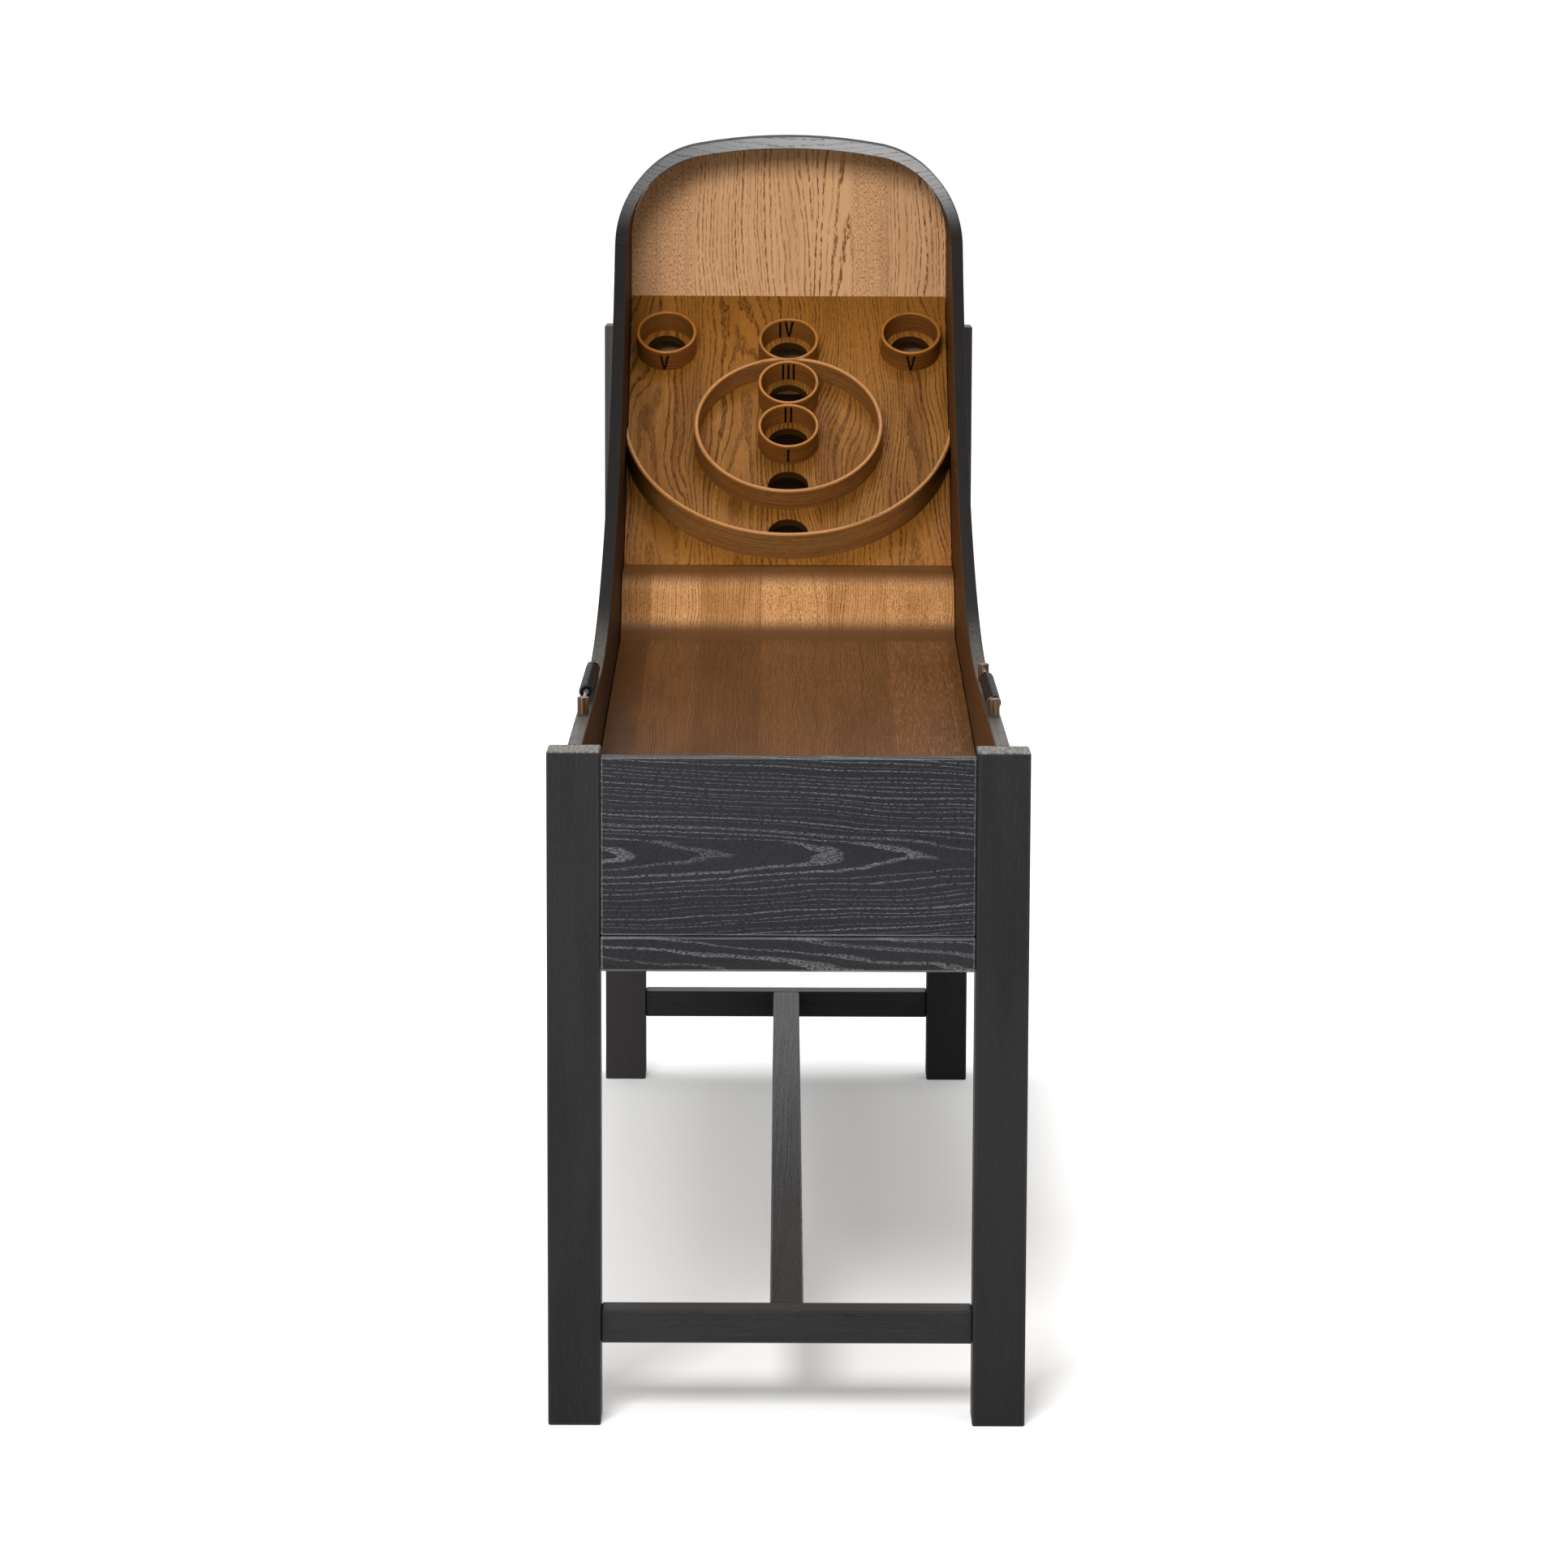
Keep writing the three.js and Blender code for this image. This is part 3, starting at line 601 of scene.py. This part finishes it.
hood_centre, hood_radius, hood_inside = (0.0, 0.0, 1.45), 0.22, (0.0, 1.0, 1.42)
hood_wood = oak(
    "hood_oak", bent(hood_centre, along_z, 1.0, hood_radius), sooty, sootier, ashen,
    ring=0.006, heart=(0.6, 0.9), taper=0.02, seed=7.3, pore_depth=0.6,
    polish=(1.488, 1.575), rubbed=rubbed_brown, seam=spring_height, roughness=0.55,
    specular=0.07,
    hollow=(hood_inside, tint("#3a2211"), tint("#1c0f06"), outer_black, outer_wax),
)
shoulder_x, shoulder_z, shoulder_lean = 0.1275, 1.47603, 0.1797
shoulder_outside, shoulder_inside, panel_shoulder = 0.165, 0.145, 0.1447
front_slope, hood_back = math.tan(math.radians(48.8)), 1.176


def rounded_shoulders(radii, slope=None):
    """Splits the facets of the shoulders, and sets the new points out on the true bend of
    the nearest of the radii. Points on a sloping front stay on its slope."""
    slack, short = 0.0001, 0.001

    def from_centre(vert):
        return Vector((abs(vert.co.x) - shoulder_x, vert.co.z - shoulder_z))

    def on_bend(vert):
        out = from_centre(vert)
        return out.y > -slack and out.x >= shoulder_lean * out.y - slack

    def follows(edge):
        start, end = (from_centre(vert) for vert in edge.verts)
        level = abs(start.length - end.length) < short / 2
        return level and (start - end).length > short and all(map(on_bend, edge.verts))

    def refine(form):
        facets = [edge for edge in form.edges if follows(edge)]
        bmesh.ops.subdivide_edges(form, edges=facets, cuts=3, use_grid_fill=True)
        for vert in filter(on_bend, form.verts):
            out = from_centre(vert)
            out *= min(radii, key=lambda radius: abs(radius - out.length)) / out.length
            risen = shoulder_z + out.y - vert.co.z
            vert.co.x = math.copysign(shoulder_x + out.x, vert.co.x)
            vert.co.z += risen
            if slope and vert.co.y < hood_back - short:
                vert.co.y += risen / slope

    return refine


hood_bends = rounded_shoulders((shoulder_outside, shoulder_inside), slope=front_slope)
hood = machined("arch_hood", 0.0018, crisp=spring_height, refine=hood_bends)
add_piece("hood", hood, hood_wood, ["arch_hood"])

# Upper back panel: a thin oak-faced board cut to the arch and stained pale tan. The strips
# along its left edge and right of its middle are quarter-sawn, the rest has plain upright grain.

panel_wood = oak(
    "tan_oak", sawn(along_z, along_x), tint("#dba979"), tint("#c08f63"), tint("#694329"),
    ring=0.0068, heart=(0.0, -1.120), taper=0.04, drift=0.045, bends=(7.0, 1.8), wave=14.0,
    seed=2.2, pore_depth=0.9, pore_along=90.0, fleck=1000.0, wide=0.02, edge=0.18,
    quartered=[(-0.27, -0.17), (0.115, 0.165)], roughness=0.5, specular=0.1,
    joints=[-0.163, 0.04], hearts=[-0.5, -0.35, 0.085],
)
panel_bends = rounded_shoulders([panel_shoulder])
back_panel = machined("upper_back_panel", 0.0002, refine=panel_bends)
add_piece("back_panel", back_panel, panel_wood, ["upper_back_panel"])

# Lane and launch ramp: seven oak staves glued side by side. The lane rises gently towards
# the ramp, whose hollow throws the ball up over a rounded crest to a flat lip.

stave_joints = [-0.2235, -0.142, -0.0424, 0.064, 0.1594, 0.2545]
lane_wood = oak(
    "lane_oak", sawn(along_y, along_x), tint("#694220"), tint("#492c11"), tint("#2c190a"),
    ring=0.0036, heart=(0.6, 0.80), taper=0.0008, seed=5.5, pore_depth=0.4, drift=0.012,
    bends=(12.0, 5.0), wave=7.0, band=0.9, roughness=0.36, pore_along=40.0, specular=0.1,
    joints=stave_joints, tones=[0.4, -0.02, 0.25, -0.1, 0.0, -0.25, 0.0],
    stipples=[0.0, 0.0, 0.0, 0.9, 0.8, 0.9, 0.5], smokes=[1.8, 0.8, 0.6, 0.5, 0.7, 0.9, 0.8],
    silvers=[0.0, 0.0, 0.0, 0.1, 0.1, 0.3, 0.2], silver=tint("#94673d"),
    # The lane is painted paler towards the player's end, a painted sheen.
    toned=[(0.80, 0.762, 0.55, tint("#85603f"))],
)
lane = machined("lane_board", 0.0008)
add_piece("lane", lane, lane_wood, ["lane_board"])

up_ramp = (0, 0.766, 0.643)
ramp_wood = oak(
    "ramp_oak", sawn(up_ramp, along_x), tint("#c9935e"), tint("#a36f3c"), tint("#583415"),
    ring=0.0042, heart=(0.6, 0.37), taper=0.012, seed=5.5, pore_depth=0.95, drift=0.016,
    bends=(10.0, 6.0), wave=12.0, roughness=0.42, specular=0.08, band=0.5, stray=0.3,
    pore_across=900.0, pore_along=120.0, fleck=1000.0, joints=stave_joints,
    tones=[0.6, -0.2, 0.25, -0.2, 0.2, -0.05, 0.1],
    stipples=[0.0, 0.0, 0.1, 0.9, 0.1, 0.8, 0.3], smokes=[1.4, 0.7, 0.7, 0.5, 0.8, 0.9, 0.8],
    # The ramp is painted darker at its crest and at its foot, a painted shade.
    toned=[(0.932, 0.957, 0.92, tint("#573516")), (0.892, 0.868, 0.96, tint("#523213"))],
)
ramp = machined("launch_ramp", 0.0008, corner=50.0)
add_piece("ramp", ramp, ramp_wood, ["launch_ramp"])

# Target board: an oak-faced board that leans back at 41 degrees between the sides, stained
# amber, with round holes that drop the balls to the return below. Holes are cut clean,
# and their arrises are eased.

lean = math.radians(41.1)
board_foot = (0.0, 0.67974, 0.957)
up_board = (0, math.cos(lean), math.sin(lean))
target_gold = tint("#a56a2a")
target_face = 0.2743
target_wood = oak(
    "target_oak", sawn(up_board, along_x), tint("#916029"), tint("#693f12"), tint("#3b220b"),
    ring=0.0056, heart=(-0.02, 0.215), taper=0.03, drift=0.06, bends=(7.0, 2.4), seed=9.1,
    pore_depth=0.76, pore_across=800.0, pore_along=100.0, wave=12.0, band=0.6, clouds=1.5,
    stray=0.25, roughness=0.42, specular=0.06, joints=[-0.17, 0.05, 0.2],
    # The walls of the board's holes are painted dark, a painted shade.
    hearts=[-0.2, -0.06, 0.3, 0.22], cut_side=(target_face, tint("#3a2410")),
    toned=[(1.20, 1.33, 0.45, target_gold), (1.06, 0.965, 0.5, target_gold)],
)
board = machined("target_board", 0.0010)
add_piece("target", board, target_wood, ["target_board"])

# Cups, inner ring and outer rail: turned and bent oak walls glued to the board, with
# rounded rims. The ring is scooped out where it passes between two cups, and the ends
# of the rail die into the sides. The cups bear black numerals.

on_board = Matrix.Translation(board_foot) @ Matrix.Rotation(lean, 4, "X")
glue_gap = 0.0003


def turned(profile, steps):
    """A form turned from a closed profile of radii and heights."""
    form = bmesh.new()
    rows = []
    for step in range(steps):
        turn = 2 * math.pi * step / steps
        side, front = math.sin(turn), math.cos(turn)
        rows.append([form.verts.new((r * side, r * front, h)) for r, h in profile])
    for step in range(steps):
        here, there = rows[step], rows[(step + 1) % steps]
        for i in range(len(profile)):
            k = (i + 1) % len(profile)
            form.faces.new((here[i], here[k], there[k], there[i]))
    bmesh.ops.remove_doubles(form, verts=form.verts, dist=0.0000001)
    bmesh.ops.recalc_face_normals(form, faces=form.faces)
    mesh = bpy.data.meshes.new("turning")
    form.to_mesh(mesh)
    form.free()
    return mesh


def wall_profile(radius, thickness, height, ease):
    """The section of a round wall with a rounded rim."""
    inner = radius - thickness
    rim = []
    for step in range(7):
        turn = math.radians(15 * step)
        rim.append((radius - ease + ease * math.cos(turn), height - ease + ease * math.sin(turn)))
    rest = [(inner + radius - r, h) for r, h in reversed(rim)]
    return [(radius, 0.0)] + rim + rest + [(inner, 0.0)]


def cut_away(mesh, cutters):
    """The form left when the cutters' forms are taken out of it."""
    blank = bpy.data.objects.new("blank", mesh)
    scene.collection.objects.link(blank)
    tools = []
    for cutter in cutters:
        tool = bpy.data.objects.new("tool", cutter)
        scene.collection.objects.link(tool)
        cut = blank.modifiers.new("cut", "BOOLEAN")
        cut.operation = "DIFFERENCE"
        cut.solver = "EXACT"
        cut.object = tool
        tools.append(tool)
    settled = blank.evaluated_get(bpy.context.evaluated_depsgraph_get())
    made = bpy.data.meshes.new_from_object(settled)
    for tool in tools + [blank]:
        bpy.data.objects.remove(tool)
    return made


def block(low, high):
    """A rectangular block between two corners."""
    form = bmesh.new()
    bmesh.ops.create_cube(form, size=1.0)
    for vert in form.verts:
        vert.co = [a + (b - a) * (c + 0.5) for a, b, c in zip(low, high, vert.co)]
    mesh = bpy.data.meshes.new("block")
    form.to_mesh(mesh)
    form.free()
    return mesh


def smooth(mesh, corner=35.0):
    """Shades a form smooth, but keeps its corners crisp."""
    mesh.shade_smooth()
    mesh.set_sharp_from_angle(angle=math.radians(corner))
    return mesh


def across_board(x, up):
    """A point on the board's face."""
    return on_board @ Vector((x, up, 0.0))


cup_radius, cup_wall, cup_height, cup_ease = 0.0514, 0.0056, 0.0421, 0.0022
corner_cup_x, corner_cup_up = 0.2090, 0.5040
cup_places = {
    "cup_two": (0.0, 0.2818),
    "cup_three": (0.0, 0.3849),
    "cup_four": (0.0, 0.4880),
    "left_cup_five": (-corner_cup_x, corner_cup_up),
    "right_cup_five": (corner_cup_x, corner_cup_up),
}
cup_tones = tint("#8a5625"), tint("#5c3512"), tint("#2c1706")
rubbed_gold = tint("#a2651f")
for seed, (name, (x, up)) in enumerate(cup_places.items()):
    centre = across_board(x, up)
    lie = bent(centre, up_board, 1.0, cup_radius)
    wood = oak(
        "cup_oak_" + name, lie, *cup_tones, ring=0.004, heart=(0.3, 0.4), taper=0.1,
        seed=seed * 2.9, pore_depth=0.5, roughness=0.32, specular=0.08,
        rim=(cup_height, rubbed_gold),
    )
    cup = turned(wall_profile(cup_radius, cup_wall, cup_height, cup_ease), 96)
    cup.transform(on_board @ Matrix.Translation((x, up, glue_gap)))
    add_piece(name + "_wall", smooth(cup), wood, [name])

ring_radius, ring_wall, ring_height, ring_up = 0.1595, 0.008, 0.0417, 0.2860
ring_ease = 0.0026
ring = turned(wall_profile(ring_radius, ring_wall, ring_height, ring_ease), 192)
below, over = -0.01, 0.06
scoops = []
for name in ("cup_three", "cup_four"):
    r = cup_radius + glue_gap
    scoop = turned([(0.0, below), (r, below), (r, over), (0.0, over)], 96)
    scoop.transform(Matrix.Translation((0.0, cup_places[name][1] - ring_up, 0.0)))
    scoops.append(scoop)
ring = cut_away(ring, scoops)
ring.transform(on_board @ Matrix.Translation((0.0, ring_up, glue_gap)))
ring_tones = tint("#9c6a36"), tint("#6c4420"), tint("#2e1b0b")
ring_wood = oak(
    "ring_oak", bent(across_board(0.0, ring_up), up_board, -1.0, ring_radius), *ring_tones,
    ring=0.0035, heart=(0.22, -0.10), taper=0.02, seed=4.4, pore_depth=0.65, roughness=0.32,
    specular=0.08, rim=(ring_height, rubbed_gold),
)
add_piece("bent_ring", smooth(ring), ring_wood, ["inner_ring"])

rail_radius, rail_height, rail_up = 0.2790, 0.0567, 0.2920
rail_reach, rail_land = 0.2707, 0.0015
rail = turned(wall_profile(rail_radius, ring_wall, rail_height, ring_ease), 256)
rail_inner = rail_radius - ring_wall
rail_top = -math.sqrt(rail_inner ** 2 - (rail_reach - rail_land) ** 2)
aside, aloft = 0.4, 0.1
waste = [
    block((-aside, rail_top, below), (aside, aside, aloft)),
    block((-aside, -aside, below), (-rail_reach, aside, aloft)),
    block((rail_reach, -aside, below), (aside, aside, aloft)),
]
rail = cut_away(rail, waste)
rail.transform(on_board @ Matrix.Translation((0.0, rail_up, glue_gap)))
rail_tones = tint("#b07d45"), tint("#7c522a"), tint("#352210")
rail_wood = oak(
    "rail_oak", bent(across_board(0.0, rail_up), up_board, -1.0, rail_radius), *rail_tones,
    ring=0.0035, heart=(0.34, -0.10), taper=0.02, seed=7.7, pore_depth=0.65, roughness=0.32,
    # The rail is painted dark towards its ends by the sides, a painted shade.
    specular=0.08, rim=(rail_height, rubbed_gold), ends=(0.17, 0.27, tint("#1a0d05")),
)
add_piece("bent_rail", smooth(rail), rail_wood, ["outer_arc_rail"])

numeral_ink, ink, numeral_shader = fresh_material("numeral_black")
grit = ink.node("TexNoise", None, {"Scale": 900.0, "Detail": 3.0})
ink.blend(grit, tint("#0c0806"), tint("#19110c")).feed(numeral_shader, "Base Color")
(grit * 0.2 + 0.35).feed(numeral_shader, "Roughness")
numeral_shader.inputs["Specular IOR Level"].default_value = 0.1

stroke = 0.0038


def bar(x):
    """An upright stroke of a numeral."""
    half = stroke / 2
    return [(x - half, 0.0), (x + half, 0.0), (x + half, 1.0), (x - half, 1.0)]


def vee(x, half):
    """A V of a numeral."""
    edge, foot, inside = stroke * 1.1, stroke * 0.55, 0.2
    return [
        (x - foot, 0.0), (x + foot, 0.0), (x + half, 1.0), (x + half - edge, 1.0),
        (x, inside), (x - half + edge, 1.0), (x - half, 1.0),
    ]


def numeral(name, cup, shapes, inside, low, high):
    """A numeral in black paint on a cup's wall: inside at its back, or outside at its front."""
    film, slice_width, slice_start = 0.00025, 0.0015, 0.00003
    radius = cup_radius - cup_wall - film if inside else cup_radius
    facing = 1.0 if inside else -1.0
    x_cup, up_cup = cup_places[cup]
    form = bmesh.new()
    for shape in shapes:
        form.faces.new([form.verts.new((x, 0.0, low + (high - low) * z)) for x, z in shape])
    for step in range(-12, 13):
        everything = form.verts[:] + form.edges[:] + form.faces[:]
        side = (step * slice_width + slice_start, 0.0, 0.0)
        bmesh.ops.bisect_plane(form, geom=everything, plane_co=side, plane_no=along_x)
    front = form.faces[:]
    grown = bmesh.ops.extrude_face_region(form, geom=front, use_keep_orig=True)["geom"]
    for vert in grown:
        if isinstance(vert, bmesh.types.BMVert):
            vert.co.y = film
    for vert in form.verts:
        out = radius + vert.co.y
        turn = vert.co.x / radius
        spot = (x_cup + out * math.sin(turn), up_cup + facing * out * math.cos(turn), vert.co.z)
        vert.co = on_board @ Vector(spot)
    bmesh.ops.recalc_face_normals(form, faces=form.faces)
    mesh = bpy.data.meshes.new(name)
    form.to_mesh(mesh)
    form.free()
    add_piece(name, mesh, numeral_ink)


numeral("numeral_one", "cup_two", [bar(0.0)], False, 0.006, 0.036)
numeral("numeral_two", "cup_two", [bar(-0.0047), bar(0.0047)], True, 0.002, 0.0385)
numeral("numeral_three", "cup_three", [bar(-0.009), bar(0.0), bar(0.009)], True, 0.002, 0.0385)
numeral("numeral_four", "cup_four", [bar(-0.0145), vee(0.001, 0.0082)], True, 0.002, 0.0385)
numeral("left_numeral_five", "left_cup_five", [vee(-0.003, 0.0082)], False, 0.003, 0.036)
numeral("right_numeral_five", "right_cup_five", [vee(0.0, 0.0082)], False, 0.003, 0.036)

# Hidden carcass: plain brown oak bearers and cleats carry the lane, ramp and target board,
# and the drop board and the chute bring the balls back to the player's end.

hidden = [
    "left_lane_bearer", "right_lane_bearer", "left_target_cleat", "right_target_cleat",
    "ball_drop_board", "ball_return_chute", "chute_bearer",
]
plain_stain = tint("#a5835c"), tint("#86673f"), tint("#5b4326")
# The drop board, seen through the holes, is stained near black, a painted shade in the holes.
drop_stain = tint("#38230f"), tint("#281809"), tint("#1a0f05")
for seed, name in enumerate(hidden):
    pale, brown, pore = drop_stain if name == "ball_drop_board" else plain_stain
    wood = oak(
        "plain_oak_" + name, sawn(along_y, along_x), pale, brown, pore, ring=0.006,
        heart=(0.1, 0.3), seed=seed * 6.1, pore_depth=0.5, roughness=0.6, specular=0.05,
    )
    finish_node(name, wood)

# Bead scorers: on each side rail two bronze posts hold a polished rod, and eleven black
# turned beads slide along it to keep the score. Each bead has a dished end and rounded
# shoulders.


def metal(name, pale, dark, worn, width, roughness, metallic, specular, drawn=False):
    """A drawn or turned metal, or a lacquered bead, with fine tool marks, and with arrises
    painted bright over some width, a painted highlight. Drawn stock has upright streaks."""
    material, marks, shader = fresh_material(name)
    smear = {"Scale": 160.0, "Detail": 4.0}
    if drawn:
        stretch = {0: marks.place(), 1: (1.6, 1.6, 0.05)}
        smear["Vector"] = marks.node("VectorMath", {"operation": "MULTIPLY"}, stretch)
    smear = marks.node("TexNoise", None, smear)
    fine = marks.node("TexNoise", None, {"Scale": 2200.0, "Detail": 2.0})
    colour = marks.blend(smear.between(0.35, 0.65), pale, dark)
    bright = (at_arris(marks, width) * 14.0).between(0.1, 1.0) * (smear * 0.5 + 0.45)
    marks.blend(bright, colour, worn).feed(shader, "Base Color")
    (smear * 0.2 + fine * 0.1 + roughness).feed(shader, "Roughness")
    shader.inputs["Metallic"].default_value = metallic
    shader.inputs["Specular IOR Level"].default_value = specular
    bump = {"Height": fine, "Strength": 0.15, "Distance": 0.0001}
    marks.node("Bump", None, bump).feed(shader, "Normal")
    return material


# The arrises of the posts, the rods and the beads are painted pale, a painted highlight.
bronze = metal(
    "dark_bronze", tint("#74593f"), tint("#2a2018"), worn=tint("#e6dfd2"), width=0.0014,
    roughness=0.2, metallic=0.6, specular=0.3, drawn=True,
)
polished = metal(
    "polished_rod", tint("#b9b3ab"), tint("#8f8880"), worn=tint("#ddd8d0"), width=0.0004,
    roughness=0.15, metallic=1.0, specular=0.5,
)
bead_black = metal(
    "bead_black", tint("#0d0e0f"), tint("#070808"), worn=tint("#b0b1b5"), width=0.0024,
    roughness=0.15, metallic=0.0, specular=0.01,
)


def eased(outline, ease):
    """A profile with its corners rounded by ease, but for those on the axis or by a short side."""
    made = []
    for i, corner in enumerate(outline):
        before, after = Vector(outline[i - 1]), Vector(outline[(i + 1) % len(outline)])
        here = Vector(corner)
        toward = [(other - here) for other in (before, after)]
        if min(t.length for t in toward) < 1.2 * ease or corner[0] == 0.0:
            made.append(corner)
            continue
        first, last = (here + t.normalized() * ease for t in toward)
        for share in (0.0, 0.3, 0.5, 0.7, 1.0):
            spot = first * (1 - share) ** 2 + here * 2 * share * (1 - share) + last * share ** 2
            made.append((spot.x, spot.y))
    return made


def lying(form, low, high):
    """Lays an upright turning along the table, in the middle of a box from low to high."""
    middle = Vector(((low.x + high.x) / 2, high.y, (low.z + high.z) / 2))
    form.transform(Matrix.Translation(middle) @ Matrix.Rotation(math.pi / 2, 4, "X"))
    return form


post_ease, rod_ease = 0.0012, 0.0004
for name in nodes:
    low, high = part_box(name)
    radius = (high.x - low.x) / 2
    if "scorer_post" in name:
        tall = high.z - low.z
        outline = [(0.0, 0.0), (radius, 0.0), (radius, tall), (0.0, tall)]
        post = turned(eased(outline, post_ease), 64)
        post.transform(Matrix.Translation(((low.x + high.x) / 2, (low.y + high.y) / 2, low.z)))
        add_piece(name + "_turned", smooth(post), bronze, [name])
    elif "scorer_rod" in name:
        long = high.y - low.y
        outline = [(0.0, 0.0), (radius, 0.0), (radius, long), (0.0, long)]
        rod = lying(turned(eased(outline, rod_ease), 32), low, high)
        add_piece(name + "_drawn", smooth(rod), polished, [name])

bead_radius, bead_long, bead_bore, bead_dish = 0.0102, 0.0237, 0.0028, 0.0014
bead_land, bead_ease = bead_radius * 0.55, 0.0032
bead_outline = [
    (bead_bore, bead_dish), (bead_land, 0.0), (bead_radius, 0.0),
    (bead_radius, bead_long), (bead_land, bead_long), (bead_bore, bead_long - bead_dish),
]
for name in nodes:
    if "_bead_" in name:
        bead = lying(turned(eased(bead_outline, bead_ease), 48), *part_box(name))
        add_piece(name + "_turned", smooth(bead, 50.0), bead_black, [name], name)
